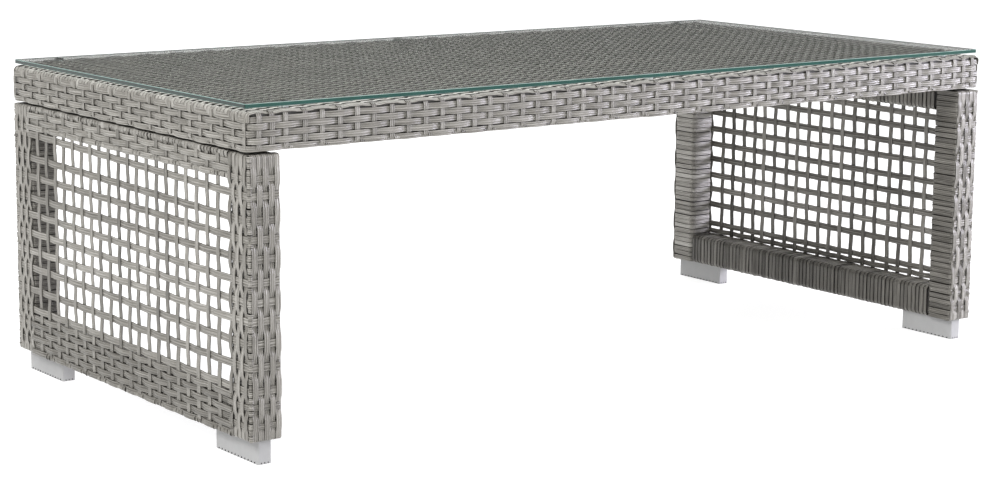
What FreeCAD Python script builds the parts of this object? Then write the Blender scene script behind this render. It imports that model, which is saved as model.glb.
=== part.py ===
"""Low garden coffee table: resin wicker woven over a welded tube frame, with a loose glass top.

Frame: origin at the centre of the footprint, on the floor. X runs along the table's length, Y across it
(front is -Y) and Z up. The two end panels stand at -X (left) and +X (right). Millimetres throughout.
"""
import FreeCAD, Part
import os

# Overall size
LENGTH = 1200.0
WIDTH = 600.0
HEIGHT = 415.0

# Glass sheet, lying on small clear bumpers
GLASS_T = 5.0
GLASS_INSET_X = 2.0
GLASS_INSET_Y = 6.5
GLASS_CORNER_R = 4.0
GLASS_ARRIS = 0.5
PAD_T = 3.0
PAD_R = 6.0
PAD_INSET_X = 60.0
PAD_INSET_Y = 20.0

# Weave: the thickness of a woven skin, and the strands that show one by one
WEAVE_T = 4.0
STRAND_W = 6.6
STRAND_T = 1.6

# Top frame
DECK_Z = HEIGHT - GLASS_T - PAD_T
APRON_H = 46.0
APRON_Z = DECK_Z - APRON_H
APRON_DEPTH = 38.0
APRON_CORNER_R = 13.0
APRON_EDGE_R = 6.0
TUBE_WALL = 1.5
TUBE_CORNER_R = 10.0
CROSS_BAR_W = 25.0
CROSS_BAR_X = [-280.0, 0.0, 280.0]

# End panels
SEAM = 4.0
LEG_TOP_Z = APRON_Z - SEAM
FOOT_H = 28.0
LEG_BOTTOM_Z = FOOT_H
LEG_T = 42.0
LEG_INSET = 1.2
POST_W = 46.0
POST_EDGE_R = 5.0
TOP_RAIL_H = 30.0
BOTTOM_RAIL_H = 44.0
LATTICE_STAKES = 20
LATTICE_ROWS = 10
LATTICE_ROW_PITCH = 25.1
LATTICE_FIRST_ROW = 20.0
LATTICE_TIGHT_ROW = 4.0

# Feet: moulded blocks with a studded sole
FOOT_LEN = 95.0
FOOT_W = 18.0
FOOT_INSET_X = 15.0
FOOT_INSET_Y = 7.0
FOOT_EDGE_R = 2.0
SOLE_STUDS = 13
SOLE_STUDS_ACROSS = 4
SOLE_GROOVE_W = 2.4
SOLE_CHANNEL_W = 1.2
SOLE_GROOVE_H = 2.4

# Fasteners (M6 socket bolts into rivet nuts, and 4.2 mm self-tapping foot screws)
BOLT_R = 3.0
BOLT_HOLE_R = 3.3
BOLT_HEAD_R = 5.0
BOLT_HEAD_H = 6.0
BOLT_SOCKET_W = 5.0
BOLT_SOCKET_H = 3.0
BOLT_Y = 190.0
BOLT_INSET_X = 21.0
BOLT_RUN_OUT = 4.0
WASHER_R = 6.0
WASHER_T = 1.2
RECESS_R = 6.5
NUT_R = 4.5
NUT_BORE_R = 3.05
NUT_FLANGE_T = 1.5
NUT_LENGTH = 15.0
SPACER_R = 11.0
SCREW_R = 2.1
SCREW_HOLE_R = 2.3
SCREW_HEAD_R = 4.0
SCREW_HEAD_H = 3.0
SCREW_SLOT_W = 1.0
SCREW_SLOT_H = 1.2
SCREW_SEAT_Z = 18.0
SCREW_LENGTH = 22.0
SCREW_COUNTERBORE_R = 4.6
SCREW_PITCH = 55.0

HALF_L = LENGTH / 2
HALF_W = WIDTH / 2
SIDES = {"left": -1, "right": 1}
ENDS = {"front": -1, "back": 1}


def vec(x, y, z):
    return FreeCAD.Vector(x, y, z)


def box(x0, x1, y0, y1, z0, z1):
    """Box between two corners, given in any order."""
    low = vec(min(x0, x1), min(y0, y1), min(z0, z1))
    return Part.makeBox(abs(x1 - x0), abs(y1 - y0), abs(z1 - z0), low)


def rod(x, y, z0, z1, radius):
    """Upright cylinder."""
    return Part.makeCylinder(radius, z1 - z0, vec(x, y, z0))


def ring(x, y, z0, z1, outer_r, inner_r):
    """Upright hollow cylinder."""
    return rod(x, y, z0, z1, outer_r).cut(rod(x, y, z0, z1, inner_r))


def upright_edges(shape):
    """The edges of a shape that run along Z."""
    return [e for e in shape.Edges if abs(e.tangentAt(e.FirstParameter).z) > 0.99]


def edges_at(shape, z):
    """The edges of a shape that lie in the level plane at z."""
    return [e for e in shape.Edges if max(abs(e.BoundBox.ZMin - z), abs(e.BoundBox.ZMax - z)) < 1e-6]


def slab(half_x, half_y, z0, z1, corner_r):
    """Centred level slab with rounded plan corners."""
    plain = box(-half_x, half_x, -half_y, half_y, z0, z1)
    return plain.makeFillet(corner_r, upright_edges(plain))


def drill(shape, places, z0, z1, radius):
    """Upright holes through a shape, from z0 to z1."""
    for x, y in places:
        shape = shape.cut(rod(x, y, z0, z1, radius))
    return shape


def group(solids):
    """Several solids kept as one part."""
    return Part.makeCompound(solids)


def save(name, shape):
    shape.exportStep(os.path.join("parts", name + ".step"))


def side_wedge(side_name):
    """The mitred quarter of the plan that belongs to one side of the top frame."""
    margin = 10.0
    run = HALF_W + margin
    far = HALF_L + margin
    long_side = [(-far, -run), (far, -run), (far - run, 0), (run - far, 0)]
    short_side = [(-far, -run), (run - far, 0), (-far, run)]
    outlines = {
        "front": long_side,
        "back": [(x, -y) for x, y in long_side],
        "left": short_side,
        "right": [(-x, y) for x, y in short_side],
    }
    points = [vec(x, y, APRON_Z - margin) for x, y in outlines[side_name]]
    face = Part.Face(Part.makePolygon(points + points[:1]))
    return face.extrude(vec(0, 0, APRON_H + 2 * margin))


# ---------------------------------------------------------------- top frame

def tube_ring(wall=0.0):
    """The closed rectangular run of the top frame tubes, or with a wall the hollow inside them."""
    z0 = APRON_Z + WEAVE_T + wall
    z1 = DECK_Z - WEAVE_T - wall
    near = WEAVE_T + wall
    far = APRON_DEPTH - WEAVE_T - wall
    outer = slab(HALF_L - near, HALF_W - near, z0, z1, TUBE_CORNER_R - wall)
    return outer.cut(box(far - HALF_L, HALF_L - far, far - HALF_W, HALF_W - far, z0, z1))


def bolt_places():
    """X and Y of the bolts that hold the end panels to the top frame."""
    return [(side * (HALF_L - BOLT_INSET_X), end * BOLT_Y)
            for side in SIDES.values() for end in ENDS.values()]


def cross_bar(x, wall=None):
    """Cross bar between the long tubes; with a wall it is hollow."""
    half = CROSS_BAR_W / 2
    reach = HALF_W - APRON_DEPTH + WEAVE_T
    top = DECK_Z - WEAVE_T
    bar = box(x - half, x + half, -reach, reach, top - CROSS_BAR_W, top)
    if wall is None:
        return bar
    bore = box(x - half + wall, x + half - wall, -reach, reach, top - CROSS_BAR_W + wall, top - wall)
    return bar.cut(bore)


def make_top_frame():
    """Frame tubes, mitred at the corners, and the cross bars under the deck."""
    tubes = tube_ring().cut(tube_ring(TUBE_WALL))
    for x, y in bolt_places():
        tubes = tubes.cut(rod(x, y, APRON_Z, APRON_Z + WEAVE_T + 2 * TUBE_WALL, NUT_R))
    for name in ("front", "back", "left", "right"):
        save("top_tube_" + name, tubes.common(side_wedge(name)))
    for number, x in enumerate(CROSS_BAR_X, start=1):
        save("cross_bar_%d" % number, cross_bar(x, TUBE_WALL))


def make_top_weave():
    """Woven skin round the top frame tubes, and the woven deck between them."""
    outer = slab(HALF_L, HALF_W, APRON_Z, DECK_Z, APRON_CORNER_R)
    outer = outer.makeFillet(APRON_EDGE_R, edges_at(outer, APRON_Z) + edges_at(outer, DECK_Z))
    inner_x = HALF_L - APRON_DEPTH
    inner_y = HALF_W - APRON_DEPTH
    skin = outer.cut(box(-inner_x, inner_x, -inner_y, inner_y, APRON_Z, DECK_Z)).cut(tube_ring())
    for x in CROSS_BAR_X:
        skin = skin.cut(cross_bar(x))
    for x, y in bolt_places():
        skin = skin.cut(rod(x, y, APRON_Z, APRON_Z + WEAVE_T, RECESS_R))
    for name in ("front", "back", "left", "right"):
        save("apron_weave_" + name, skin.common(side_wedge(name)))
    save("deck_weave", box(-inner_x, inner_x, -inner_y, inner_y, DECK_Z - WEAVE_T, DECK_Z))


def make_glass():
    """Glass sheet with bevelled edges, and the bumpers that carry it."""
    z0 = HEIGHT - GLASS_T
    sheet = slab(HALF_L - GLASS_INSET_X, HALF_W - GLASS_INSET_Y, z0, HEIGHT, GLASS_CORNER_R)
    save("glass_top", sheet.makeChamfer(GLASS_ARRIS, edges_at(sheet, z0) + edges_at(sheet, HEIGHT)))
    pads = []
    for x in (PAD_INSET_X - HALF_L, 0, HALF_L - PAD_INSET_X):
        for y in (PAD_INSET_Y - HALF_W, HALF_W - PAD_INSET_Y):
            pads.append(rod(x, y, DECK_Z, DECK_Z + PAD_T, PAD_R))
    save("glass_bumpers", group(pads))


# --------------------------------------------------------------- end panels

def leg_span(side, inset=0.0):
    """X of an end panel's outer and inner faces, both moved into the panel by inset."""
    outer = side * (HALF_L - LEG_INSET - inset)
    inner = side * (HALF_L - LEG_INSET - LEG_T + inset)
    return outer, inner


def rail_levels(rail, inset=0.0):
    """Z of a rail's lower and upper faces, both moved into the rail by inset."""
    if rail == "top":
        return LEG_TOP_Z - TOP_RAIL_H + inset, LEG_TOP_Z - inset
    return LEG_BOTTOM_Z + inset, LEG_BOTTOM_Z + BOTTOM_RAIL_H - inset


def rail_tube(side, rail, wall=0.0):
    """Rail tube through the panel's full depth, or with a wall the hollow inside it."""
    outer, inner = leg_span(side, WEAVE_T + wall)
    z0, z1 = rail_levels(rail, WEAVE_T + wall)
    return box(outer, inner, WEAVE_T - HALF_W, HALF_W - WEAVE_T, z0, z1)


def post_tube(side, end, wall=0.0):
    """Post tube between the two rail tubes, or with a wall the hollow inside it."""
    outer, inner = leg_span(side, WEAVE_T + wall)
    y_out = end * (HALF_W - WEAVE_T - wall)
    y_in = end * (HALF_W - POST_W + WEAVE_T + wall)
    z0 = LEG_BOTTOM_Z + BOTTOM_RAIL_H - WEAVE_T
    z1 = LEG_TOP_Z - TOP_RAIL_H + WEAVE_T
    return box(outer, inner, y_out, y_in, z0, z1)


def foot_span(end):
    """Y of a foot's outer and inner ends."""
    outer = end * (HALF_W - FOOT_INSET_Y)
    return outer, outer - end * FOOT_LEN


def screw_places(side, end):
    """X and Y of the two screws in one foot."""
    x = side * (HALF_L - FOOT_INSET_X - FOOT_W / 2)
    y = sum(foot_span(end)) / 2
    return [(x, y - SCREW_PITCH / 2), (x, y + SCREW_PITCH / 2)]


def side_screws(side):
    return [place for end in ENDS.values() for place in screw_places(side, end)]


def side_bolts(side):
    return [(x, y) for x, y in bolt_places() if x * side > 0]


def make_leg_tubes(side_name, side):
    """Rail and post tubes of one end panel, drilled for the bolts and the foot screws."""
    for rail in ("top", "bottom"):
        tube = rail_tube(side, rail).cut(rail_tube(side, rail, TUBE_WALL))
        if rail == "top":
            tube = drill(tube, side_bolts(side), LEG_TOP_Z - TOP_RAIL_H, LEG_TOP_Z, BOLT_HOLE_R)
        else:
            tube = drill(tube, side_screws(side), FOOT_H, FOOT_H + WEAVE_T + 2 * TUBE_WALL, SCREW_R)
        save("%s_%s_rail_tube" % (side_name, rail), tube)
    for end_name, end in ENDS.items():
        tube = post_tube(side, end).cut(post_tube(side, end, TUBE_WALL))
        save("%s_%s_post_tube" % (side_name, end_name), tube)


def make_leg_weave(side_name, side):
    """Woven skins round the posts and rails of one end panel."""
    outer, inner = leg_span(side)
    rails = rail_tube(side, "top").fuse(rail_tube(side, "bottom"))
    for end_name, end in ENDS.items():
        skin = box(outer, inner, end * HALF_W, end * (HALF_W - POST_W), LEG_BOTTOM_Z, LEG_TOP_Z)
        corners = [e for e in upright_edges(skin) if abs(e.CenterOfMass.y) > HALF_W - 1]
        skin = skin.makeFillet(POST_EDGE_R, corners)
        skin = skin.cut(post_tube(side, end)).cut(rails)
        skin = drill(skin, screw_places(side, end), FOOT_H, FOOT_H + WEAVE_T, SCREW_HOLE_R)
        save("%s_%s_post_weave" % (side_name, end_name), skin)
    clear = HALF_W - POST_W
    for rail in ("top", "bottom"):
        z0, z1 = rail_levels(rail)
        skin = box(outer, inner, -clear, clear, z0, z1).cut(rails)
        if rail == "top":
            skin = drill(skin, side_bolts(side), z0, z0 + WEAVE_T, RECESS_R)
            skin = drill(skin, side_bolts(side), z1 - WEAVE_T, z1, BOLT_HOLE_R)
        else:
            skin = drill(skin, side_screws(side), z0, z0 + WEAVE_T, SCREW_HOLE_R)
        save("%s_%s_rail_weave" % (side_name, rail), skin)


def lattice_row_levels():
    """Heights of the rows: one tight over the bottom rail, then an open run at an even pitch."""
    base = LEG_BOTTOM_Z + BOTTOM_RAIL_H
    open_rows = [base + LATTICE_FIRST_ROW + LATTICE_ROW_PITCH * number for number in range(LATTICE_ROWS)]
    return [base + LATTICE_TIGHT_ROW] + open_rows


def make_lattice(side_name, side):
    """Open lattice on the panel's outer plane: rows lie outside, stakes behind them."""
    outer, _ = leg_span(side)
    middle = outer - side * STRAND_T
    inner = middle - side * STRAND_T
    clear = HALF_W - POST_W
    z0 = LEG_BOTTOM_Z + BOTTOM_RAIL_H
    z1 = LEG_TOP_Z - TOP_RAIL_H
    half = STRAND_W / 2
    rows = [box(outer, middle, -clear, clear, z - half, z + half) for z in lattice_row_levels()]
    stakes = []
    for number in range(1, LATTICE_STAKES + 1):
        y = -clear + 2 * clear * number / (LATTICE_STAKES + 1)
        stakes.append(box(middle, inner, y - half, y + half, z0, z1))
    save(side_name + "_lattice_rows", group(rows))
    save(side_name + "_lattice_stakes", group(stakes))


# --------------------------------------------------------- feet and fasteners

def make_foot(side_name, side, end_name, end):
    """Foot block with grooves and channels that leave studs on the sole, bored for its screws."""
    outer = side * (HALF_L - FOOT_INSET_X)
    inner = outer - side * FOOT_W
    y_out, y_in = foot_span(end)
    block = box(outer, inner, y_out, y_in, 0, FOOT_H)
    block = block.makeFillet(FOOT_EDGE_R, upright_edges(block))
    half = SOLE_GROOVE_W / 2
    for number in range(1, SOLE_STUDS):
        y = y_out + (y_in - y_out) * number / SOLE_STUDS
        block = block.cut(box(outer, inner, y - half, y + half, 0, SOLE_GROOVE_H))
    half = SOLE_CHANNEL_W / 2
    for number in range(1, SOLE_STUDS_ACROSS):
        x = outer + (inner - outer) * number / SOLE_STUDS_ACROSS
        block = block.cut(box(x - half, x + half, y_out, y_in, 0, SOLE_GROOVE_H))
    places = screw_places(side, end)
    block = drill(block, places, 0, SCREW_SEAT_Z, SCREW_COUNTERBORE_R)
    block = drill(block, places, SCREW_SEAT_Z, FOOT_H, SCREW_HOLE_R)
    save("%s_%s_foot" % (side_name, end_name), block)


def foot_screw(x, y):
    """Slotted screw, head down in the foot."""
    head_z = SCREW_SEAT_Z - SCREW_HEAD_H
    half = SCREW_SLOT_W / 2
    head = rod(x, y, head_z, SCREW_SEAT_Z, SCREW_HEAD_R)
    slot = box(x - SCREW_HEAD_R, x + SCREW_HEAD_R, y - half, y + half, head_z, head_z + SCREW_SLOT_H)
    shank = rod(x, y, SCREW_SEAT_Z, SCREW_SEAT_Z + SCREW_LENGTH, SCREW_R)
    return head.cut(slot).fuse(shank).removeSplitter()


def hex_prism(x, y, z0, z1, across_flats):
    """Upright hexagonal prism."""
    turn = FreeCAD.Rotation(vec(0, 0, 1), 60)
    arm = vec(across_flats / 3 ** 0.5, 0, 0)
    points = [vec(x, y, z0) + arm]
    for _ in range(6):
        arm = turn.multVec(arm)
        points.append(vec(x, y, z0) + arm)
    return Part.Face(Part.makePolygon(points)).extrude(vec(0, 0, z1 - z0))


def make_fasteners():
    """Bolts up through the top rails into rivet nuts in the frame tubes, and the foot screws."""
    seat = LEG_TOP_Z - TOP_RAIL_H + WEAVE_T
    head_top = seat - WASHER_T
    head_z = head_top - BOLT_HEAD_H
    tube_floor = APRON_Z + WEAVE_T
    bolts, washers, nuts, spacers = [], [], [], []
    for x, y in bolt_places():
        head = rod(x, y, head_z, head_top, BOLT_HEAD_R)
        socket = hex_prism(x, y, head_z, head_z + BOLT_SOCKET_H, BOLT_SOCKET_W)
        shank = rod(x, y, head_top, tube_floor + NUT_LENGTH + BOLT_RUN_OUT, BOLT_R)
        bolts.append(head.cut(socket).fuse(shank).removeSplitter())
        washers.append(ring(x, y, head_top, seat, WASHER_R, BOLT_HOLE_R))
        flange = ring(x, y, tube_floor - NUT_FLANGE_T, tube_floor, WASHER_R, NUT_BORE_R)
        body = ring(x, y, tube_floor, tube_floor + NUT_LENGTH, NUT_R, NUT_BORE_R)
        nuts.append(flange.fuse(body).removeSplitter())
        spacers.append(ring(x, y, LEG_TOP_Z, APRON_Z, SPACER_R, BOLT_HOLE_R))
    save("leg_bolts", group(bolts))
    save("leg_bolt_washers", group(washers))
    save("rivet_nuts", group(nuts))
    save("leg_spacers", group(spacers))
    screws = [foot_screw(x, y) for side in SIDES.values() for x, y in side_screws(side)]
    save("foot_screws", group(screws))


def main():
    os.makedirs("parts", exist_ok=True)
    make_glass()
    make_top_frame()
    make_top_weave()
    for side_name, side in SIDES.items():
        make_leg_tubes(side_name, side)
        make_leg_weave(side_name, side)
        make_lattice(side_name, side)
        for end_name, end in ENDS.items():
            make_foot(side_name, side, end_name, end)
    make_fasteners()


main()
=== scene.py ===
import math
import random

import bpy
import numpy as np
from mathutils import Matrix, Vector


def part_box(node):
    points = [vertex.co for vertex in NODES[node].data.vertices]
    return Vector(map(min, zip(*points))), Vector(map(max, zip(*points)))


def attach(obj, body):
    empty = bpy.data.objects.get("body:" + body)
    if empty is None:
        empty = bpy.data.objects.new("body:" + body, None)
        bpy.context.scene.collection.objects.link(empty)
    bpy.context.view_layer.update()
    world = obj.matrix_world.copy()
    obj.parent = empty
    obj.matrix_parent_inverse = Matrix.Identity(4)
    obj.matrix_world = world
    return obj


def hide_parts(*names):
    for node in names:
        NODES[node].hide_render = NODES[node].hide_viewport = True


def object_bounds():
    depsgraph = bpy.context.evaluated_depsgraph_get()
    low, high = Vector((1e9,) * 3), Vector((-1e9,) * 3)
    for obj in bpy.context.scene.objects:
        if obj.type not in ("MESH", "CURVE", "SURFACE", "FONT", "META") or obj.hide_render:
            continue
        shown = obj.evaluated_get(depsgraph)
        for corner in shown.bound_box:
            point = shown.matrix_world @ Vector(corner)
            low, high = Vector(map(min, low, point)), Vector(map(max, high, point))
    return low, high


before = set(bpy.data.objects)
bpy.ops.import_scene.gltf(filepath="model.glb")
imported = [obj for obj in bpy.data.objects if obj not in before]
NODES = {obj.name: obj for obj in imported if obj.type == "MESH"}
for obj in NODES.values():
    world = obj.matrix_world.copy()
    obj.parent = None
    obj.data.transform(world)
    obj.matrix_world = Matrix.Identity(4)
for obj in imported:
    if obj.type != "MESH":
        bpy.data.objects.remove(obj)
CAD_LOW, CAD_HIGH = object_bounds()
BODY = "table"

# Flat resin strands and how they pass each other (metres)
STRAND_W = 0.0072         # a plain strand; others are named where they are used
STRAND_T = 0.0012
ROW_LIFT = 0.00115        # how far a dense row swings out and in as it passes the stakes
STAKE_LIFT = 0.0002       # how far a stake gives way to the rows
WEAVE_DEPTH = 0.00175     # middle of the weave below the outer face
WRAP_DEPTH = 0.0007       # middle of a plain wrapping below the face
SUNK_DEPTH = 0.0042       # middle of a wrapping that passes behind the weave
STEP = 0.003              # sampling of a strand on the sides and legs
DECK_STEP = 0.004         # sampling of a strand on the deck
ARC_POINTS = 5            # samples of a bend
FLATNESS = 1.9            # 1 gives evenly curved bricks in the weave, more gives flat ones

# Tones. A strand's tone runs from dull (-1) to bright (1.4), painted light and shade included
TONE_RANGE = (-1.0, 1.4)
INNER_SHADE = 0.36        # painted shade: wrappings are darker where they face the inside of the table
BACK_SHADE = 0.22         # the back of a strand is duller than its face

# Half the outline of a strand's section: across (half widths) and height (thicknesses)
SECTION = np.array([
    (-1.00, 0.00), (-0.97, 0.30), (-0.86, 0.50), (-0.30, 0.42), (0.30, 0.42),
    (0.86, 0.50), (0.97, 0.30), (1.00, 0.00), (0.86, -0.48), (-0.86, -0.48),
])

# Planes that a strand's route lies in: its two axes, then the axis it keeps its level on
XY, XZ, YZ = (0, 1, 2), (0, 2, 1), (1, 2, 0)

draw = random.Random(41)


# ------------------------------------------------------------------- routes

def unit(v):
    return v / np.linalg.norm(v)


def tangents(points, closed):
    """Unit direction of travel at each point of a path."""
    if closed:
        ahead = np.roll(points, -1, axis=0) - np.roll(points, 1, axis=0)
    else:
        ahead = np.gradient(points, axis=0)
    return ahead / np.linalg.norm(ahead, axis=1)[:, None]


def arc(corner, before, after, radius):
    """Points of the arc that rounds one corner of a flat path."""
    a, b = unit(before - corner), unit(after - corner)
    half = math.acos(np.clip(a @ b, -1, 1)) / 2
    if half > math.pi / 2 - 1e-3:
        return [corner]
    reach = min(radius / math.tan(half),
                0.49 * np.linalg.norm(before - corner), 0.49 * np.linalg.norm(after - corner))
    centre = corner + unit(a + b) * reach / math.cos(half)
    start, end = corner + a * reach - centre, corner + b * reach - centre
    turn = math.pi - 2 * half
    shares = np.linspace(0, 1, ARC_POINTS)
    return [centre + (math.sin((1 - t) * turn) * start + math.sin(t * turn) * end) / math.sin(turn)
            for t in shares]


class Route:
    """Flat path of straight runs and arcs: sample points, distances along it and outward normals."""

    def __init__(self, points, radius, outward, closed=False, step=STEP):
        points = [np.array(p, float) for p in points]
        radii = np.broadcast_to(radius, len(points))
        last = len(points) - 1
        dense = []
        for i, p in enumerate(points):
            if closed or 0 < i < last:
                dense += arc(p, points[i - 1], points[(i + 1) % len(points)], radii[i])
            else:
                dense.append(p)
        self.closed = closed
        self.points = self._divide(np.array(dense), step)
        ends = self.points if not closed else np.vstack([self.points, self.points[:1]])
        lengths = np.linalg.norm(np.diff(ends, axis=0), axis=1)
        self.s = np.concatenate([[0], np.cumsum(lengths)])[:len(self.points)]
        self.length = lengths.sum()
        along = tangents(self.points, closed)
        self.normals = outward * np.stack([-along[:, 1], along[:, 0]], axis=1)

    def _divide(self, dense, step):
        """Adds even points on the runs that are longer than the step."""
        count = len(dense) if self.closed else len(dense) - 1
        made = []
        for i in range(count):
            a, b = dense[i], dense[(i + 1) % len(dense)]
            cuts = max(1, math.ceil(np.linalg.norm(b - a) / step))
            made += [a + (b - a) * k / cuts for k in range(cuts)]
        if not self.closed:
            made.append(dense[-1])
        return np.array(made)

    def at(self, point):
        """Distance along the route of its sample nearest to a point."""
        return self.s[np.argmin(np.linalg.norm(self.points - np.array(point), axis=1))]


def lift(route, crossings, heights, flatness=FLATNESS):
    """Height of a strand over the middle of the weave: the given height at each crossing."""
    s = np.asarray(crossings, float)
    h = np.asarray(heights, float)
    if route.closed:
        s = np.concatenate([[s[-1] - route.length], s, [s[0] + route.length]])
        h = np.concatenate([[h[-1]], h, [h[0]]])
    i = np.clip(np.searchsorted(s, route.s) - 1, 0, len(s) - 2)
    t = np.clip((route.s - s[i]) / (s[i + 1] - s[i]), 0, 1)
    t = np.clip((t - 0.5) * flatness + 0.5, 0, 1)
    return h[i] + (h[i + 1] - h[i]) * t * t * (3 - 2 * t)


def row_height(k):
    """Height of a dense row at its crossing k: out and in by turns, never quite the same."""
    return ROW_LIFT * (-1) ** k * draw.uniform(0.85, 1.1)


def wander(route, amount, shortest=0.09):
    """Slow random drift along a route, the same at both ends of a closed one."""
    drift = np.zeros(len(route.s))
    most = max(2, int(route.length / shortest))
    for _ in range(4):
        waves, phase = draw.randint(1, most), draw.uniform(0, math.tau)
        drift += amount * draw.uniform(0.2, 0.6) * np.sin(math.tau * waves * route.s / route.length + phase)
    return drift


# ------------------------------------------------------------------- strands

class Strands:
    """Gathers swept strands into one piece, with their length, breadth and tone as attributes."""

    def __init__(self, name):
        self.name = name
        self.points, self.faces, self.along, self.across, self.tone = [], [], [], [], []
        self.count = 0

    def sweep(self, centre, normal, s, width, closed, tone, painted_side_shade):
        """Draws the section along a centre line, flat side towards the normal."""
        ahead = tangents(centre, closed)
        side = np.cross(ahead, normal)
        side /= np.linalg.norm(side, axis=1)[:, None]
        up = np.cross(side, ahead)
        across, height = SECTION[:, 0], SECTION[:, 1]
        ring = (centre[:, None] + side[:, None] * across[None, :, None] * width / 2
                + up[:, None] * height[None, :, None] * STRAND_T)
        n, k = len(centre), len(SECTION)
        index = self.count + np.arange(n * k).reshape(n, k)
        after = np.roll(index, -1, axis=0) if closed else index[1:]
        before = index if closed else index[:-1]
        quads = np.stack([before, np.roll(before, -1, axis=1), np.roll(after, -1, axis=1), after], axis=2)
        self.faces.append(quads.reshape(-1, 4))
        if not closed:
            self.faces.append(self._cap(index[0])[:, ::-1])
            self.faces.append(self._cap(index[-1]))
        self.points.append(ring.reshape(-1, 3))
        self.along.append(np.repeat(s, k))
        self.across.append(np.tile(across, n))
        # painted shade on the strand's narrow sides; its back is darker too
        shade = BACK_SHADE * (height < 0) + painted_side_shade * (abs(across) > 0.95)
        self.tone.append(np.clip(tone[:, None] - shade, *TONE_RANGE).ravel())
        self.count += n * k

    def _cap(self, ring):
        """Closes an end with quads that span the section from side to side."""
        k = len(ring)
        top = [ring[i] for i in range(k // 2 + 3)]
        pairs = [(top[i], top[i + 1], top[-2 - i], top[-1 - i]) for i in range(len(top) // 2 - 1)]
        pairs.append((ring[0], top[-1], ring[k - 2], ring[k - 1]))
        return np.array(pairs)

    def lay(self, route, plane, level, height=0.0, *, shade, width=STRAND_W, spread=0.15,
            drift=0.3, tilt=0.0, inner=None, dip_shade=0.0, painted_side_shade=0.0):
        """Adds one strand: a route in a plane at a level, raised off the route by a height.

        Its tone is shade, give or take spread. It is darker on faces that look along inner, which
        is painted shade where wrappings face the inside of the table. Painted shade also darkens it
        by dip_shade where the strand passes under, and by painted_side_shade on its narrow sides.
        Drift is how far it strays from its level (millimetres), and tilt how far it leans over.
        """
        sideways = wander(route, drift * 0.001)
        uv = route.points + route.normals * np.reshape(height, (-1, 1))
        centre = np.empty((len(uv), 3))
        centre[:, list(plane[:2])] = uv
        centre[:, plane[2]] = level + sideways
        normal = np.empty_like(centre)
        normal[:, list(plane[:2])] = route.normals * math.cos(tilt)
        normal[:, plane[2]] = math.sin(tilt)
        tone = np.zeros(len(centre)) + shade + draw.gauss(0.0, spread)
        # painted shade: darker on faces along inner, and where the strand dips under
        if inner is not None:
            tone -= INNER_SHADE * np.clip(route.normals @ np.array(inner, float), 0.0, 1.0)
        tone -= dip_shade * np.clip(-np.broadcast_to(height, len(tone)) / ROW_LIFT, 0.0, 1.0)
        start = draw.uniform(0, 3)
        width *= draw.uniform(0.95, 1.03)
        self.sweep(centre, normal, route.s + start, width, route.closed, tone, painted_side_shade)

    def build(self, material, replaces=()):
        """Makes the piece's mesh, puts it on the body and hides the CAD parts it stands for."""
        mesh = bpy.data.meshes.new(self.name)
        points, faces = np.concatenate(self.points), np.concatenate(self.faces)
        mesh.vertices.add(len(points))
        mesh.vertices.foreach_set("co", points.astype(np.float32).ravel())
        mesh.loops.add(faces.size)
        mesh.loops.foreach_set("vertex_index", faces.astype(np.int32).ravel())
        mesh.polygons.add(len(faces))
        mesh.polygons.foreach_set("loop_start", np.arange(0, faces.size, 4, dtype=np.int32))
        mesh.polygons.foreach_set("use_smooth", np.ones(len(faces), bool))
        for name, values in (("along", self.along), ("across", self.across), ("tone", self.tone)):
            layer = mesh.attributes.new(name, "FLOAT", "POINT")
            layer.data.foreach_set("value", np.concatenate(values).astype(np.float32))
        mesh.update(calc_edges=True)
        mesh.validate()
        piece = bpy.data.objects.new(self.name, mesh)
        bpy.context.scene.collection.objects.link(piece)
        mesh.materials.append(material)
        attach(piece, BODY)
        if replaces:
            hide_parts(*replaces)
        return piece


# ----------------------------------------------------------------- materials

class Nodes:
    """Short hand for building a material's node tree."""

    def __init__(self, name):
        self.material = bpy.data.materials.new(name)
        self.material.use_nodes = True
        self.tree = self.material.node_tree
        self.shader = self.tree.nodes["Principled BSDF"]

    def add(self, kind, inputs=None, **settings):
        """New node. An input is either another node's socket or a plain value."""
        node = self.tree.nodes.new("ShaderNode" + kind)
        for key, value in settings.items():
            setattr(node, key, value)
        for key, value in (inputs or {}).items():
            if isinstance(value, bpy.types.NodeSocket):
                self.tree.links.new(value, node.inputs[key])
            else:
                node.inputs[key].default_value = value
        return node

    def math(self, operation, a, b=0.0):
        """Output of a math node."""
        return self.add("Math", {0: a, 1: b}, operation=operation).outputs[0]

    def noise(self, vector, scale, detail=2.0, roughness=0.5):
        return self.add("TexNoise", {"Vector": vector, "Scale": scale, "Detail": detail,
                                     "Roughness": roughness}).outputs["Fac"]

    def ramp(self, factor, stops):
        """Colour ramp through (place, colour) stops."""
        node = self.add("ValToRGB", {"Fac": factor})
        band = node.color_ramp.elements
        while len(band) < len(stops):
            band.new(0.5)
        for element, (place, colour) in zip(band, stops):
            element.position = place
            element.color = (*colour, 1.0)
        return node.outputs["Color"]

    def bump(self, height, distance, strength=1.0):
        node = self.add("Bump", {"Height": height, "Distance": distance, "Strength": strength})
        self.tree.links.new(node.outputs["Normal"], self.shader.inputs["Normal"])

    def link(self, output, name):
        self.tree.links.new(output, self.shader.inputs[name])

    def set(self, **values):
        """Plain values on the shader's own sockets."""
        for name, value in values.items():
            self.shader.inputs[name.replace("_", " ")].default_value = value


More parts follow.
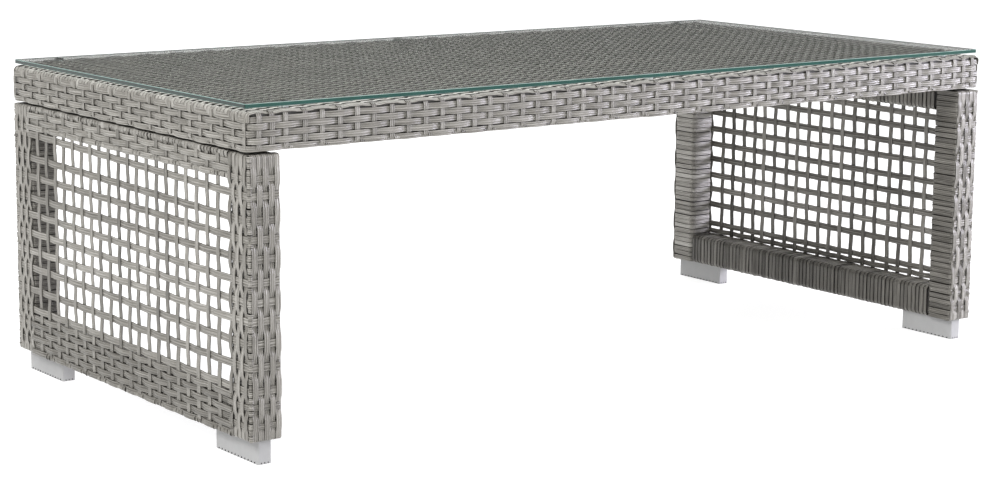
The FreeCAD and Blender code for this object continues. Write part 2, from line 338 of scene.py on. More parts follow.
def wicker_material():
    """Grey resin strand: tone by strand, ribs and streaks along it, painted shade at its edges, fine grain.
    """
    m = Nodes("wicker_strand")
    along = m.add("Attribute", attribute_name="along").outputs["Fac"]
    across = m.add("Attribute", attribute_name="across").outputs["Fac"]
    # the tone attribute carries each strand's own tone and the painted light and shade laid on it
    tone = m.add("Attribute", attribute_name="tone").outputs["Fac"]
    seed = m.math("MULTIPLY", tone, 53.0)
    streak_at = m.add("CombineXYZ", {0: m.math("MULTIPLY", along, 22.0),
                                     1: m.math("MULTIPLY", across, 4.5), 2: seed}).outputs[0]
    grain_at = m.add("CombineXYZ", {0: m.math("MULTIPLY", along, 300.0),
                                    1: m.math("MULTIPLY", across, 9.0), 2: seed}).outputs[0]
    streak = m.noise(streak_at, 1.0, 3.0, 0.6)
    grain = m.noise(grain_at, 1.0, 2.0, 0.7)
    rib = m.math("COSINE", m.math("MULTIPLY", across, 7.85))
    # painted shade: the colour darkens towards a strand's edges, where it meets its neighbours
    edge = m.add("MapRange", {"Value": m.math("ABSOLUTE", across), "From Min": 0.80, "From Max": 1.0,
                              "To Min": 0.0, "To Max": 1.0}, interpolation_type="SMOOTHSTEP").outputs[0]
    mixed = m.math("ADD", m.math("MULTIPLY", tone, 0.40), m.math("MULTIPLY", streak, 0.84))
    mixed = m.math("ADD", mixed, m.math("MULTIPLY", grain, 0.24))
    mixed = m.math("ADD", mixed, m.math("MULTIPLY", rib, 0.075))
    mixed = m.math("SUBTRACT", mixed, m.math("MULTIPLY", edge, 0.30))
    colour = m.ramp(mixed, [
        (0.38, (0.030, 0.027, 0.022)), (0.60, (0.132, 0.124, 0.108)),
        (0.80, (0.270, 0.257, 0.230)), (1.00, (0.500, 0.484, 0.450)),
    ])
    m.link(colour, "Base Color")
    rough = m.add("MapRange", {"Value": streak, "From Min": 0.3, "From Max": 0.7,
                               "To Min": 0.30, "To Max": 0.46}).outputs[0]
    m.link(rough, "Roughness")
    groove = m.math("ADD", m.math("MULTIPLY", streak, 0.6), m.math("MULTIPLY", grain, 0.3))
    groove = m.math("ADD", groove, m.math("MULTIPLY", rib, 0.35))
    m.bump(groove, 0.0005)
    return m.material


def speckled(name, dark, light, scale, roughness, bump, metallic=0.0):
    """Plain moulded, cast or painted surface with fine colour variation and texture."""
    m = Nodes(name)
    at = m.add("TexCoord").outputs["Object"]
    cloud = m.noise(at, scale * 0.06, 3.0)
    fine = m.noise(at, scale, 2.0)
    mixed = m.math("ADD", m.math("MULTIPLY", cloud, 0.6), m.math("MULTIPLY", fine, 0.4))
    m.link(m.ramp(mixed, [(0.3, dark), (0.7, light)]), "Base Color")
    rough = m.add("MapRange", {"Value": cloud, "To Min": roughness - 0.06, "To Max": roughness + 0.06})
    m.link(rough.outputs[0], "Roughness")
    m.set(Metallic=metallic)
    m.bump(fine, bump)
    return m.material


def glass_face_material():
    """Clear glass with a faint tint. Its low index keeps the weave in sight at a flat angle."""
    m = Nodes("glass_face")
    at = m.add("TexCoord").outputs["Object"]
    film = m.noise(at, 9.0, 2.0)
    m.link(m.ramp(film, [(0.3, (0.92, 0.94, 0.91)), (0.7, (0.95, 0.965, 0.935))]), "Base Color")
    m.set(Roughness=0.0, IOR=1.20, Transmission_Weight=1.0)
    return m.material


def glass_edge_material(name, dark, light):
    """Green cut edge of the sheet."""
    m = Nodes(name)
    at = m.add("TexCoord").outputs["Object"]
    m.link(m.ramp(m.noise(at, 14.0, 3.0), [(0.3, dark), (0.7, light)]), "Base Color")
    m.set(Roughness=0.12, IOR=1.5)
    return m.material


# --------------------------------------------------------------- top frame

APRON_LOW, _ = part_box("apron_weave_front")
_, DECK_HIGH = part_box("deck_weave")
HALF_L, HALF_W = CAD_HIGH.x, CAD_HIGH.y
DECK_Z, APRON_Z = DECK_HIGH.z, APRON_LOW.z
INNER_L, INNER_W = DECK_HIGH.x, DECK_HIGH.y

APRON_ROWS = 5
APRON_ROW_LOOK = {"width": 0.0077, "shade": 0.52, "spread": 0.06}
ROW_PITCH = 0.0081
FIRST_ROW = 0.0040           # lowest row's middle above the apron's lower edge
ROW_TILTS = (-0.12, 0.0, 0.0, 0.0, 0.14)     # outer rows lean over the edges
PLAN_RADIUS = 0.0112
EDGE_RADIUS = 0.0045
SIDE_STAKE_RADIUS = 0.003

STAKE_PITCH = 0.024
STAKE_STRAY = 0.0012         # how far a stake stands off its even place
STAKE_LOOK = {"width": 0.0068, "shade": 0.56, "spread": 0.08}
DULL_ON_DECK = (0.0, 0.9)    # a long side's stake is duller where it faces up
CORNER_STAKES = (0.0165, 0.034, 0.052)   # close-set stakes, measured from the corner
SIDE_STAKES = 25
SIDE_STAKE_INSET = 0.0085
SIDE_STAKE_STRAY = 0.0008
STAKE_TUCK = 0.004           # the stakes' ends stay this far below the deck inside the frame
SIDE_STAKE_END = (0.014, 0.005)    # how far in and down a side stake ends under the deck

DECK_ROWS = 79
DECK_ROW_INSET = 0.0050
DECK_ROW_TUCK = 0.0110       # how far the ends of the deck's rows turn down
DECK_ROW_LEAN = 0.0009       # and lean inwards on the way
# painted shade: dip_shade darkens the rows where they pass under the stakes, painted_side_shade their
# narrow sides
DECK_ROW_LOOK = {"spread": 0.12, "dip_shade": 1.3, "painted_side_shade": 0.3}
DECK_ROW_FLATNESS = 2.3
# painted light: the deck's rows get a much brighter tone than the other rows, for the light the glass keeps
# off them
DECK_ROW_TONE = 1.22
DECK_END_SHADE = 0.48        # the rows keep this much less of that painted light where they turn down
DECK_END_RUN = 0.006         # and lose it over this length

# The first and last deck rows lie on the bend of the long edges
EDGE_ROW_LOOK = {"spread": 0.12, "shade": 0.66}
EDGE_ROW_SWING = 0.6         # share of the other rows' swing
EDGE_ROW_DROP = 0.0005
EDGE_ROW_TILT = 0.45
CORNER_PULL = 0.0026         # they are pulled inwards between the corner's close-set stakes
PULL_AT, PULL_RUN = 0.0225, 0.010    # from the corner: middle of the pull, and its reach

# painted shade: the wrappings under and inside the top frame get a dark tone
INNER_WRAP_LOOK = {"shade": 0.30, "spread": 0.24, "drift": 0.15}
WRAP_ROOM = 0.02             # stakes that are closer than this have no wrappings between them


def long_stake_places():
    """X of the stakes of the long sides: close-set at the corners, even between."""
    corner = [HALF_L - inset for inset in CORNER_STAKES]
    first = corner[-1] - STAKE_PITCH
    count = round(2 * first / STAKE_PITCH)
    even = [-first + 2 * first * k / count for k in range(count + 1)]
    return [-x for x in corner] + even + corner[::-1]


def side_stake_places():
    """Y of the stakes of the short sides."""
    first = HALF_W - SIDE_STAKE_INSET
    return [-first + 2 * first * k / (SIDE_STAKES - 1) for k in range(SIDE_STAKES)]


LONG_STAKES = [x + draw.uniform(-STAKE_STRAY, STAKE_STRAY) for x in long_stake_places()]
SHORT_STAKES = [y + draw.uniform(-SIDE_STAKE_STRAY, SIDE_STAKE_STRAY) for y in side_stake_places()]
ROW_LEVELS = [APRON_Z + FIRST_ROW + ROW_PITCH * k for k in range(APRON_ROWS)]
MID_L, MID_W = HALF_L - WEAVE_DEPTH, HALF_W - WEAVE_DEPTH
MID_Z, MID_BOTTOM = DECK_Z - WEAVE_DEPTH, APRON_Z + WEAVE_DEPTH
DECK_Y = np.linspace(-HALF_W + DECK_ROW_INSET, HALF_W - DECK_ROW_INSET, DECK_ROWS)


def make_apron_rows(material):
    """Five rows that run all the way round the apron, over and under its stakes."""
    piece = Strands("apron_rows")
    outline = [(-MID_L, -MID_W), (MID_L, -MID_W), (MID_L, MID_W), (-MID_L, MID_W)]
    route = Route(outline, PLAN_RADIUS, outward=-1, closed=True)
    stakes = [(x, -MID_W) for x in LONG_STAKES] + [(MID_L, y) for y in SHORT_STAKES]
    stakes += [(x, MID_W) for x in LONG_STAKES[::-1]] + [(-MID_L, y) for y in SHORT_STAKES[::-1]]
    order = sorted((route.at(p), j) for j, p in enumerate(stakes))
    crossings = [s for s, _ in order]
    for i, (level, tilt) in enumerate(zip(ROW_LEVELS, ROW_TILTS)):
        height = lift(route, crossings, [row_height(i + j + 1) for _, j in order])
        piece.lay(route, XY, level, height, tilt=tilt, **APRON_ROW_LOOK)
    piece.build(material, [n for n in NODES if n.startswith("apron_weave")])


def over_table_route():
    """Section across the table: down one inner face, round the apron, over the deck and back."""
    inset = INNER_W + WRAP_DEPTH
    half = [(MID_W, MID_Z), (MID_W, MID_BOTTOM), (inset, MID_BOTTOM), (inset, MID_Z - STAKE_TUCK)]
    points = [(-y, z) for y, z in half[::-1]] + half
    return Route(points, EDGE_RADIUS, outward=1, step=DECK_STEP)


def make_long_stakes(material):
    """Stakes that cross the table from the front apron over the deck to the back one."""
    route = over_table_route()
    places = [(-MID_W, z) for z in ROW_LEVELS] + [(y, MID_Z) for y in DECK_Y]
    places += [(MID_W, z) for z in ROW_LEVELS[::-1]]
    crossings = [route.at(p) for p in places]
    halves = (Strands("deck_stakes_left"), Strands("deck_stakes_right"))
    for j, x in enumerate(LONG_STAKES):
        height = lift(route, crossings, [STAKE_LIFT * (-1) ** (i + j) for i in range(len(places))])
        halves[x > 0].lay(route, YZ, x, height, inner=DULL_ON_DECK, **STAKE_LOOK)
    halves[0].build(material, ["deck_weave"])
    halves[1].build(material)


def make_deck_rows(material):
    """Rows along the deck. Their ends turn down and tuck behind the apron's top row."""
    end = [(MID_L, MID_Z), (MID_L - DECK_ROW_LEAN, MID_Z - DECK_ROW_TUCK)]
    route = Route([(-x, z) for x, z in end[::-1]] + end, EDGE_RADIUS, outward=1, step=DECK_STEP)
    crossings = [route.at((x, MID_Z)) for x in [-MID_L, *LONG_STAKES, MID_L]]
    bands = [Strands("deck_rows_%d" % (k + 1)) for k in range(4)]
    from_corner = HALF_L - abs(route.points[:, 0])
    pull = CORNER_PULL * np.exp(-((from_corner - PULL_AT) / PULL_RUN) ** 2)
    # painted light under the glass, less where the rows turn down
    tone = DECK_ROW_TONE - DECK_END_SHADE * np.clip(2.0 - from_corner / DECK_END_RUN, 0.0, 1.0)
    for k, y in enumerate(DECK_Y):
        heights = [-ROW_LIFT * (-1) ** (APRON_ROWS + k + j) for j in range(len(LONG_STAKES))]
        height = lift(route, crossings, [0.0, *heights, 0.0], DECK_ROW_FLATNESS)
        band = bands[k * len(bands) // DECK_ROWS]
        edge = (k == DECK_ROWS - 1) - (k == 0)
        if edge:
            height = height * EDGE_ROW_SWING - EDGE_ROW_DROP
            band.lay(route, XZ, y - edge * pull, height, tilt=EDGE_ROW_TILT * edge, **EDGE_ROW_LOOK)
        else:
            band.lay(route, XZ, y, height, shade=tone, **DECK_ROW_LOOK)
    for band in bands:
        band.build(material)


def make_short_stakes(material):
    """Stakes of the short sides: down the inner face, round the apron and under the deck's rows."""
    piece = Strands("apron_side_stakes")
    for end, turn in ((-1, 1), (1, len(LONG_STAKES))):
        inset = INNER_L + WRAP_DEPTH
        inwards, down = SIDE_STAKE_END
        points = [(inset, MID_Z - STAKE_TUCK), (inset, MID_BOTTOM), (MID_L, MID_BOTTOM),
                  (MID_L, MID_Z - 0.001), (MID_L - inwards, MID_Z - down)]
        route = Route([(end * x, z) for x, z in points], SIDE_STAKE_RADIUS, outward=-end)
        crossings = [route.at((end * MID_L, z)) for z in ROW_LEVELS]
        for j, y in enumerate(SHORT_STAKES):
            heights = [STAKE_LIFT * (-1) ** (i + j + turn) for i in range(APRON_ROWS)]
            piece.lay(route, XZ, y, lift(route, crossings, heights), **STAKE_LOOK)
    piece.build(material)


def make_apron_wraps(material):
    """Strands that wrap the inner and lower faces of the top frame between the stakes."""
    piece = Strands("apron_wraps")
    sides = (
        (YZ, MID_W, INNER_W, LONG_STAKES, INNER_L),
        (XZ, MID_L, INNER_L, SHORT_STAKES, INNER_W),
    )
    for plane, mid_out, inner, stakes, reach in sides:
        for out in (-1, 1):
            route = inner_wrap_route(out, mid_out, inner)
            for a, b in zip(stakes, stakes[1:]):
                if b - a > WRAP_ROOM and abs(a + b) / 2 < reach:
                    for share in (1 / 3, 2 / 3):
                        piece.lay(route, plane, a + (b - a) * share, **INNER_WRAP_LOOK)
    piece.build(material)


def inner_wrap_route(side, mid_out, inner):
    """From behind the lowest row, under the top frame and up its inner face."""
    inset = inner + WRAP_DEPTH
    points = [(side * (mid_out - 0.001), ROW_LEVELS[0]), (side * mid_out, MID_BOTTOM),
              (side * inset, MID_BOTTOM), (side * inset, MID_Z - STAKE_TUCK)]
    return Route(points, EDGE_RADIUS, outward=side)


# --------------------------------------------------------------- end panels

BOTTOM_RAIL_ROWS, BOTTOM_RAIL_PITCH, FIRST_BOTTOM_ROW = 6, 0.0090, 0.0044
TOP_RAIL_ROWS, TOP_RAIL_PITCH, FIRST_TOP_ROW = 3, 0.0079, 0.0034
RAIL_ROW_LOOK = {"width": 0.0080, "spread": 0.08}
# painted light: the top rail's rows get a brighter tone than the bottom rail's, against the shade under the
# apron
RAIL_ROW_SHADES = {"bottom": 0.53, "top": 0.80}
RAIL_ROW_REACH = 0.004       # how far a rail's rows run in behind the posts' columns

COLUMNS = 5
COLUMN_PITCH = 0.00805
FIRST_COLUMN = 0.0032        # middle of a post's first column past the post's inner edge
END_COLUMN = 0.0074          # middle of the first column of a post's end face, from the outer face
END_COLUMN_PITCH = 0.00775
COLUMN_LOOK = {"width": 0.0075, "shade": 0.53, "spread": 0.10, "drift": 0.25}
COLUMN_END = 0.006           # a column swings no more this close to its ends
CROWN = 0.0010               # how far the weave of a leg's top bulges into the seam
TURN_IN = 0.010              # how far an upright strand turns in over the edges of its face
FACE_BEND = 0.0035           # bend of a strand that turns from one face to the next

POST_BANDS = (0.046, 0.0685, 0.3305)     # strands that cross the posts beside the rails
POST_BAND_LOOK = {"width": 0.0070, "shade": 0.56}
POST_BAND_REACH = 0.006      # how far they run on past the post's inner edge
ROW_END = 0.0015             # a row ends this far short of the post's inner face

LATTICE_LEVELS = {
    "left": (0.0880, 0.1150, 0.1430, 0.1670, 0.1900, 0.2140, 0.2380, 0.2635, 0.2870, 0.3165),
    "right": (0.0880, 0.1200, 0.1440, 0.1685, 0.1935, 0.2170, 0.2430, 0.2675, 0.2930, 0.3145),
}
LATTICE_SLOPES = (0.003, 0.000, 0.004, -0.003, 0.002, 0.005, -0.003, 0.007, 0.013, 0.018)
LATTICE_ROW_LOOK = {"width": 0.0093, "shade": 0.44, "spread": 0.10, "drift": 0.12}
LATTICE_ROW_LIFT = 0.0007
LATTICE_STAKES = 20
LATTICE_STAKE_STRAY = 0.0016
LATTICE_STAKE_LOOK = {"width": 0.0082, "shade": 0.42, "spread": 0.18, "drift": 0.12}
LATTICE_STAKE_LIFT = 0.0004
LATTICE_CLEAR = 0.0242       # last stake to the post

WRAP_PITCH = 0.0074
WRAP_LOOK = {"spread": 0.12, "drift": 0.2}
WRAP_SHIFT, WRAP_PROUD = 0.00035, 0.0003     # how far a turn strays along and off its core
WRAP_TWIST = 0.10
POST_WRAP_W, RAIL_WRAP_W = 0.0070, 0.0065
# painted light: the right back post's wrapping gets a much brighter tone than the other posts'
POST_WRAP_SHADE, LIT_POST_WRAP_SHADE = 0.46, 0.98
# painted light on the top rail's wrappings, painted shade on the bottom rail's
RAIL_WRAP_SHADES = {"bottom": 0.40, "top": 0.62}
BEND = 0.0060                # bend of a wrapping over a post's or rail's inner edge
TIGHT_BEND = 0.0025          # and where it dives behind the outer strands
POST_CORNER_DEPTH = 0.0016   # a post's wrapping comes this near its two outer faces
RAIL_EDGE_DEPTH = 0.0012     # a rail's wrapping comes this near the outer face at the edges
SUNK_EDGE_DEPTH = 0.0062     # at the bottom rail's upper edge it stays behind the lattice
SHALLOW_RUN = 0.003          # length of a wrapping near the face, beside an edge or corner
POST_DIVE, END_DIVE = 0.006, 0.004   # from there on it runs sunk: on a post's two faces,
RAIL_DIVE = 0.009                    # and on a rail
FINGER_LEAN = 0.004          # how far a turn slants as it dives behind the top rail's rows
FINGER_LENGTH = 0.024        # it is upright again this far below the edge
OUTER_ZONE = 0.008           # only the part this near the outer face slants


class Panel:
    """Faces of one end panel, read from the frame, and the places of its strands."""

    def __init__(self, name, side):
        self.name, self.side = name, side
        post_low, post_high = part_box(name + "_front_post_weave")
        top_low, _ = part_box(name + "_top_rail_weave")
        _, bottom_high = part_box(name + "_bottom_rail_weave")
        self.outer = side * max(abs(post_low.x), abs(post_high.x))
        self.inner = side * min(abs(post_low.x), abs(post_high.x))
        self.half = -post_low.y
        self.clear = -post_high.y
        self.low, self.high = post_low.z, post_high.z + CROWN
        self.top_rail, self.bottom_rail = top_low.z, bottom_high.z
        self.mid, self.end_mid = self.outer - side * WEAVE_DEPTH, self.half - WEAVE_DEPTH
        self.row_end = self.inner + side * ROW_END

        self.open_levels = LATTICE_LEVELS[name]
        self.bands = sorted(POST_BANDS + self.open_levels)
        self.rail_levels = {
            "bottom": [self.low + FIRST_BOTTOM_ROW + BOTTOM_RAIL_PITCH * k
                       for k in range(BOTTOM_RAIL_ROWS)],
            "top": [self.top_rail + FIRST_TOP_ROW + TOP_RAIL_PITCH * k for k in range(TOP_RAIL_ROWS)],
        }
        self.back = [self.clear + FIRST_COLUMN + COLUMN_PITCH * k for k in range(COLUMNS)]
        self.front = [-y for y in self.back[::-1]]
        self.end_x = [self.outer - side * (END_COLUMN + END_COLUMN_PITCH * k) for k in range(COLUMNS)]
        run = self.clear - LATTICE_CLEAR
        even = [-run + 2 * run * k / (LATTICE_STAKES - 1) for k in range(LATTICE_STAKES)]
        self.stakes = [y + draw.uniform(-LATTICE_STAKE_STRAY, LATTICE_STAKE_STRAY) for y in even]

    def node(self, name):
        return "%s_%s" % (self.name, name)

    def upright_route(self, face, out):
        """Up a face that looks along out (+1 or -1), with both ends turned in over the edges."""
        mid = face - out * WEAVE_DEPTH
        low, high = self.low + WRAP_DEPTH, self.high - WRAP_DEPTH
        points = [(mid - out * TURN_IN, low), (mid, low), (mid, high), (mid - out * TURN_IN, high)]
        return Route(points, FACE_BEND, outward=-out)


def make_panel(name, side, material):
    panel = Panel(name, side)
    make_lattice_stakes(panel, material)
    for end, post, places in ((-1, "front", panel.front), (1, "back", panel.back)):
        make_post_columns(panel, end, post, places, material)
    make_lattice_rows(panel, material)
    make_rail_rows(panel, material)
    for end, post in ((-1, "front"), (1, "back")):
        make_post_wraps(panel, end, post, material)
    make_rail_wraps(panel, "top", panel.top_rail, panel.high, RAIL_EDGE_DEPTH, material)
    make_rail_wraps(panel, "bottom", panel.low, panel.bottom_rail, SUNK_EDGE_DEPTH, material)


def make_lattice_stakes(panel, material):
    """Upright strands of the lattice, which also cross the rows of both rails."""
    piece = Strands(panel.node("lattice_stakes"))
    route = panel.upright_route(panel.outer, panel.side)
    levels = [*panel.rail_levels["bottom"], *panel.open_levels, *panel.rail_levels["top"]]
    crossings = [route.at((panel.mid, z)) for z in levels]
    swings = [LATTICE_STAKE_LIFT if z in panel.open_levels else -STAKE_LIFT for z in levels]
    for j, y in enumerate(panel.stakes):
        heights = [(-1) ** (i + j) * swing for i, swing in enumerate(swings)]
        piece.lay(route, XZ, y, lift(route, crossings, heights), **LATTICE_STAKE_LOOK)
    piece.build(material, [panel.node("lattice_stakes")])


def make_post_columns(panel, end, name, places, material):
    """Dense upright strands on the outer face and the end face of one post."""
    piece = Strands(panel.node(name + "_post_columns"))
    lay_columns(piece, panel, XZ, panel.outer, panel.side, places)
    lay_columns(piece, panel, YZ, end * panel.half, end, panel.end_x)
    piece.build(material, [panel.node(name + "_post_weave")])


def lay_columns(piece, panel, plane, face, out, places):
    """Columns of one face, over and under every strand that crosses it."""
    route = panel.upright_route(face, out)
    levels = [panel.low + COLUMN_END, *panel.bands, panel.high - COLUMN_END]
    crossings = [route.at((face - out * WEAVE_DEPTH, z)) for z in levels]
    for j, place in enumerate(places):
        heights = [row_height(i + j) for i in range(len(panel.bands))]
        piece.lay(route, plane, place, lift(route, crossings, [0.0, *heights, 0.0]), **COLUMN_LOOK)


def make_lattice_rows(panel, material):
    """Level strands that run round the posts: the open rows, and the bands beside the rails."""
    piece = Strands(panel.node("lattice_rows"))
    lay_open_rows(piece, panel)
    for level in POST_BANDS:
        lay_post_band(piece, panel, level, -1, panel.front)
        lay_post_band(piece, panel, level, 1, panel.back[::-1])
    piece.build(material, [panel.node("lattice_rows")])


def lay_open_rows(piece, panel):
    """Rows from the end face of one post, across the lattice, to the end face of the other."""
    half = [(panel.mid, panel.end_mid), (panel.row_end, panel.end_mid)]
    route = Route([(x, -y) for x, y in half[::-1]] + half, FACE_BEND, outward=-panel.side)
    places = [(x, -panel.end_mid) for x in panel.end_x[::-1]]
    places += [(panel.mid, y) for y in panel.front + panel.stakes + panel.back]
    places += [(x, panel.end_mid) for x in panel.end_x]
    crossings = [route.at(p) for p in places]
    post = [STAKE_LIFT] * (len(panel.end_x) + len(panel.front))
    swings = post + [LATTICE_ROW_LIFT] * len(panel.stakes) + post
    for level, slope in zip(panel.open_levels, LATTICE_SLOPES):
        i = panel.bands.index(level)
        heights = [(-1) ** (i + j + 1) * swing for j, swing in enumerate(swings)]
        sloping = level + slope * route.points[:, 1]
        piece.lay(route, XY, sloping, lift(route, crossings, heights), **LATTICE_ROW_LOOK)


def lay_post_band(piece, panel, level, end, columns):
    """One strand across the end face and the outer face of a post."""
    corners = [(panel.row_end, end * panel.end_mid), (panel.mid, end * panel.end_mid),
               (panel.mid, end * (panel.clear - POST_BAND_REACH))]
    route = Route(corners, FACE_BEND, outward=-panel.side * end)
    places = [(x, end * panel.end_mid) for x in panel.end_x[::-1]]
    places += [(panel.mid, y) for y in columns]
    crossings = [route.at(p) for p in places]
    i = panel.bands.index(level)
    heights = [(-1) ** (i + j + 1) * STAKE_LIFT for j in range(len(places))]
    piece.lay(route, XY, level, lift(route, crossings, heights), **POST_BAND_LOOK)


def make_rail_rows(panel, material):
    """Dense level rows of both rails, over and under the lattice's stakes."""
    piece = Strands(panel.node("rail_rows"))
    reach = panel.clear + RAIL_ROW_REACH
    route = Route([(panel.mid, -reach), (panel.mid, reach)], FACE_BEND, outward=panel.side)
    crossings = [route.at((panel.mid, y)) for y in panel.stakes]
    for name, levels in panel.rail_levels.items():
        for i, level in enumerate(levels):
            height = lift(route, crossings, [row_height(i + j) for j in range(len(panel.stakes))])
            piece.lay(route, XY, level, height, shade=RAIL_ROW_SHADES[name], **RAIL_ROW_LOOK)
    piece.build(material, [panel.node("top_rail_weave"), panel.node("bottom_rail_weave")])


def wrap(piece, route, plane, level, inner, shade, width):
    """One turn of a wrapping, a little proud or twisted against its neighbours."""
    level = level + draw.uniform(-WRAP_SHIFT, WRAP_SHIFT)
    height = draw.uniform(-WRAP_PROUD, WRAP_PROUD)
    piece.lay(route, plane, level, height, width=width, shade=shade, tilt=draw.gauss(0, WRAP_TWIST),
              inner=inner, **WRAP_LOOK)


def make_post_wraps(panel, end, name, material):
    """Strands wound level round a post, sunk behind its columns. Painted shade darkens their faces that
    look into the table; the right back post's wrapping gets painted light instead, a brighter tone with
    less of that shade.
    """
    side = panel.side
    # painted shade on faces that look into the table, painted light on the right back post
    inner, shade = (-side, -end), POST_WRAP_SHADE
    if panel.name == "right" and name == "back":
        inner, shade = (-0.6 * side, -0.8 * end), LIT_POST_WRAP_SHADE
    sunk_x, sunk_y = panel.outer - side * SUNK_DEPTH, end * (panel.half - SUNK_DEPTH)
    near_x, near_y = panel.outer - side * POST_CORNER_DEPTH, end * (panel.half - POST_CORNER_DEPTH)
    in_x, in_y = panel.inner + side * WRAP_DEPTH, end * (panel.clear + WRAP_DEPTH)
    outline = [
        (sunk_x, in_y), (sunk_x, sunk_y - end * POST_DIVE), (near_x, near_y - end * SHALLOW_RUN),
        (near_x, near_y), (near_x - side * SHALLOW_RUN, near_y), (sunk_x - side * END_DIVE, sunk_y),
        (in_x + side * POST_DIVE, sunk_y), (in_x, near_y), (in_x, in_y),
    ]
    radii = [BEND if p == (in_x, in_y) else TIGHT_BEND for p in outline]
    route = Route(outline, radii, outward=-end * side, closed=True)
    count = int((panel.high - panel.low) / WRAP_PITCH)
    pitch = (panel.high - panel.low - 2 * WRAP_DEPTH) / count
    piece = Strands(panel.node(name + "_post_wraps"))
    for k in range(count):
        level = panel.low + WRAP_DEPTH + pitch * (k + 0.5)
        wrap(piece, route, XY, level, inner, shade, POST_WRAP_W)
    piece.build(material)


def make_rail_wraps(panel, name, low, high, top_depth, material):
    """Strands wound upright round a rail. They turn over its edges and sink behind its rows."""
    side = panel.side
    sunk = panel.outer - side * SUNK_DEPTH
    near, near_top = panel.outer - side * RAIL_EDGE_DEPTH, panel.outer - side * top_depth
    inner, bottom = panel.inner + side * WRAP_DEPTH, low + WRAP_DEPTH
    outline = [
        (sunk, bottom + RAIL_DIVE), (near, bottom + SHALLOW_RUN), (near, bottom), (inner, bottom),
        (inner, high), (near_top, high), (near_top, high - SHALLOW_RUN), (sunk, high - RAIL_DIVE),
    ]
    radii = [BEND if p[0] == inner else TIGHT_BEND for p in outline]
    route = Route(outline, radii, outward=side, closed=True)
    lean = np.interp(high - route.points[:, 1], [0, RAIL_DIVE, FINGER_LENGTH], [0, FINGER_LEAN, 0])
    lean[abs(route.points[:, 0]) < abs(panel.outer) - OUTER_ZONE] = 0.0
    count = int(2 * panel.clear / WRAP_PITCH)
    pitch = 2 * panel.clear / count
    piece = Strands(panel.node(name + "_rail_wraps"))
    for k in range(count):
        place = lean - panel.clear + pitch * (k + 0.5)
        # painted shade where the wrappings face the inside of the table
        wrap(piece, route, XZ, place, (-side, 0), RAIL_WRAP_SHADES[name], RAIL_WRAP_W)
    piece.build(material)


# ------------------------------------------------------------- CAD materials

SOLE_DEPTH = 0.004           # the sole's grooves are less deep than this
SKIN = 1e-4                  # faces this near a foot's own outer faces are not inside a groove
GLASS_EDGES = (
    ("glass_long_edge", (0.004, 0.050, 0.038), (0.008, 0.070, 0.054)),
    ("glass_short_edge", (0.004, 0.018, 0.014), (0.008, 0.030, 0.024)),
    ("glass_arris", (0.24, 0.36, 0.33), (0.33, 0.46, 0.43)),
)
GLASS_FACE, LONG_EDGE, SHORT_EDGE, ARRIS = range(4)      # the sheet's material slots


def paint(material, names):
    """Gives CAD parts one material."""
    for name in names:
        slots = NODES[name].data.materials
        slots.clear()
        slots.append(material)


def finish_glass(node):
    """The sheet's face, long and short cut edges and ground arris each get their own glass."""
    mesh = node.data
    mesh.materials.clear()
    mesh.materials.append(glass_face_material())
    for look in GLASS_EDGES:
        mesh.materials.append(glass_edge_material(*look))
    for face in mesh.polygons:
        x, y, z = (abs(n) for n in face.normal)
        if z > 0.95:
            face.material_index = GLASS_FACE
        elif z > 0.3:
            face.material_index = ARRIS
        else:
            face.material_index = LONG_EDGE if y > x else SHORT_EDGE


def shade_sole_grooves(feet):
    """Painted shade: the grooves between a sole's studs get a near-black colour, for the shadow under the
    foot.
    """
    # painted shade: a near-black colour for the soles' grooves
    groove_shade = speckled("sole_groove_shade", (0.020, 0.020, 0.020), (0.040, 0.040, 0.040),
                    scale=1400, roughness=0.8, bump=0.00008)
    for name in feet:
        mesh = NODES[name].data
        mesh.materials.append(groove_shade)
        low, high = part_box(name)
        for face in mesh.polygons:
            at = NODES[name].matrix_world @ face.center
            within = low.x + SKIN < at.x < high.x - SKIN and low.y + SKIN < at.y < high.y - SKIN
            if within and low.z + SKIN < at.z < low.z + SOLE_DEPTH:
                face.material_index = 1


def dress_cad():
    """Materials of the CAD parts that the woven pieces don't stand for."""
    tubes = [n for n in NODES if n.endswith("_tube") or n.startswith(("top_tube", "cross_bar"))]
    feet = [n for n in NODES if n.endswith("_foot")]
    steel = ["leg_bolts", "leg_bolt_washers", "rivet_nuts", "foot_screws"]
    paint(speckled("powder_coat", (0.050, 0.048, 0.045), (0.075, 0.072, 0.068),
                   scale=900, roughness=0.45, bump=0.00015), tubes)
    paint(speckled("foot_plastic", (0.38, 0.38, 0.38), (0.43, 0.43, 0.43),
                   scale=1400, roughness=0.50, bump=0.00008), feet)
    # painted shade in the soles' grooves
    shade_sole_grooves(feet)
    paint(speckled("zinc_steel", (0.50, 0.50, 0.48), (0.68, 0.68, 0.66),
                   scale=700, roughness=0.32, bump=0.00004, metallic=1.0), steel)
    paint(speckled("black_nylon", (0.012, 0.012, 0.012), (0.022, 0.022, 0.022),
                   scale=900, roughness=0.5, bump=0.00006), ["leg_spacers"])
    paint(speckled("clear_pvc", (0.62, 0.66, 0.66), (0.74, 0.78, 0.78),
                   scale=500, roughness=0.2, bump=0.00003), ["glass_bumpers"])
    finish_glass(NODES["glass_top"])


# --------------------------------------------------------------------- stage

CAMERA_AT = (-1.9149, -2.5117, 0.7251)
CAMERA_DEGREES = (80.806, -0.465, -36.800)
CAMERA_LENS = 84.748
CAMERA_SHIFT_Y = -0.0435


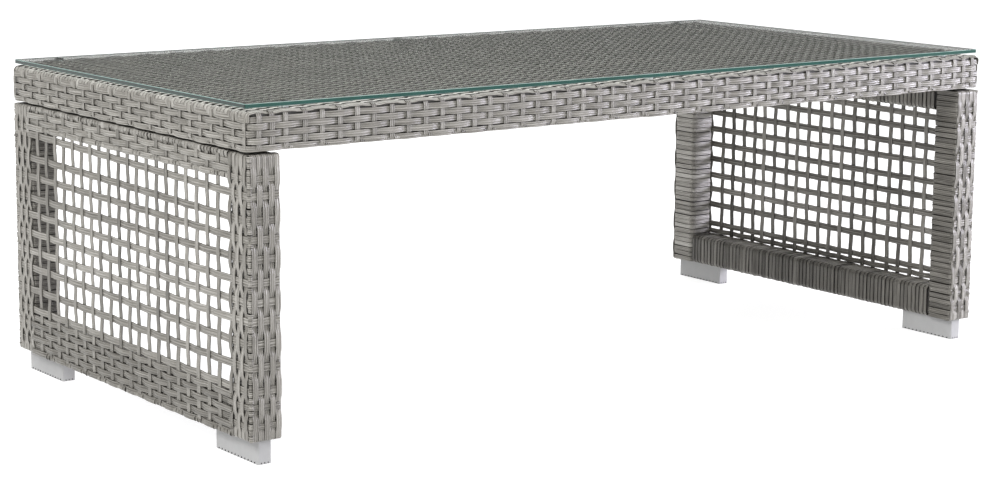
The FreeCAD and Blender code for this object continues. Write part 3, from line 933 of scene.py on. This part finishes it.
def area_light(name, place, aim, size, power, colour=(1, 1, 1), mirrored=True):
    """Square soft light. Unless it is mirrored, it leaves no white panel in the glass."""
    light = bpy.data.lights.new(name, "AREA")
    light.shape, light.size, light.energy, light.color = "SQUARE", size, power, colour
    lamp = bpy.data.objects.new(name, light)
    lamp.location = place
    lamp.rotation_euler = (Vector(aim) - Vector(place)).to_track_quat("-Z", "Y").to_euler()
    lamp.visible_glossy = mirrored
    bpy.context.scene.collection.objects.link(lamp)


def make_floor():
    """Pale studio floor, lit so that it runs into the backdrop."""
    bpy.ops.mesh.primitive_plane_add(size=60, location=(0, 0, 0))
    floor = bpy.context.object
    floor.name = "studio_floor"
    m = Nodes("studio_floor")
    at = m.add("TexCoord").outputs["Object"]
    pale = m.ramp(m.noise(at, 3.0), [(0.0, (0.34, 0.34, 0.34)), (1.0, (0.36, 0.36, 0.36))])
    m.link(pale, "Base Color")
    m.set(Roughness=0.9, Emission_Color=(1, 1, 1, 1), Emission_Strength=0.80, Specular_IOR_Level=0.0)
    floor.data.materials.append(m.material)


def make_stage():
    """Floor, backdrop and lights."""
    make_floor()
    world = bpy.data.worlds.new("studio")
    bpy.context.scene.world = world
    world.use_nodes = True
    light_world(world.node_tree)
    area_light("key_left", (-3.4, -1.5, 2.9), (0, 0, 0.2), 1.6, 109)
    area_light("window_right", (2.7, -1.3, 0.8), (0.6, 0, 0.3), 0.9, 90, (0.88, 0.86, 1.0))
    area_light("back_middle", (0.6, 2.7, 2.9), (0, 0, 0.3), 3.2, 60, mirrored=False)
    area_light("back_right", (2.2, 1.9, 2.9), (0, 0, 0.3), 3.2, 50, mirrored=False)
    bpy.context.scene.view_settings.view_transform = "Standard"


def light_world(tree):
    """Soft light that is strongest overhead. The backdrop itself is seen white."""
    backdrop = tree.nodes["Background"]
    sky = tree.nodes.new("ShaderNodeBackground")
    place = tree.nodes.new("ShaderNodeTexCoord")
    split = tree.nodes.new("ShaderNodeSeparateXYZ")
    shade = tree.nodes.new("ShaderNodeMapRange")
    path = tree.nodes.new("ShaderNodeLightPath")
    mix = tree.nodes.new("ShaderNodeMixShader")
    for key, value in (("From Min", 0.15), ("From Max", 0.80), ("To Min", 0.112), ("To Max", 1.64)):
        shade.inputs[key].default_value = value
    shade.interpolation_type = "SMOOTHSTEP"
    backdrop.inputs["Color"].default_value = (1, 1, 1, 1)
    links = (
        (place.outputs["Generated"], split.inputs[0]), (split.outputs["Z"], shade.inputs["Value"]),
        (shade.outputs[0], sky.inputs["Strength"]), (path.outputs["Is Camera Ray"], mix.inputs[0]),
        (sky.outputs[0], mix.inputs[1]), (backdrop.outputs[0], mix.inputs[2]),
        (mix.outputs[0], tree.nodes["World Output"].inputs[0]),
    )
    for a, b in links:
        tree.links.new(a, b)


def make_camera():
    data = bpy.data.cameras.new("camera")
    data.lens, data.sensor_width, data.shift_y = CAMERA_LENS, 36.0, CAMERA_SHIFT_Y
    camera = bpy.data.objects.new("camera", data)
    camera.location = CAMERA_AT
    camera.rotation_euler = [math.radians(a) for a in CAMERA_DEGREES]
    bpy.context.scene.collection.objects.link(camera)
    bpy.context.scene.camera = camera


def main():
    make_camera()
    make_stage()
    dress_cad()
    wicker = wicker_material()
    make_apron_rows(wicker)
    make_long_stakes(wicker)
    make_deck_rows(wicker)
    make_short_stakes(wicker)
    make_apron_wraps(wicker)
    make_panel("left", -1, wicker)
    make_panel("right", 1, wicker)


main()
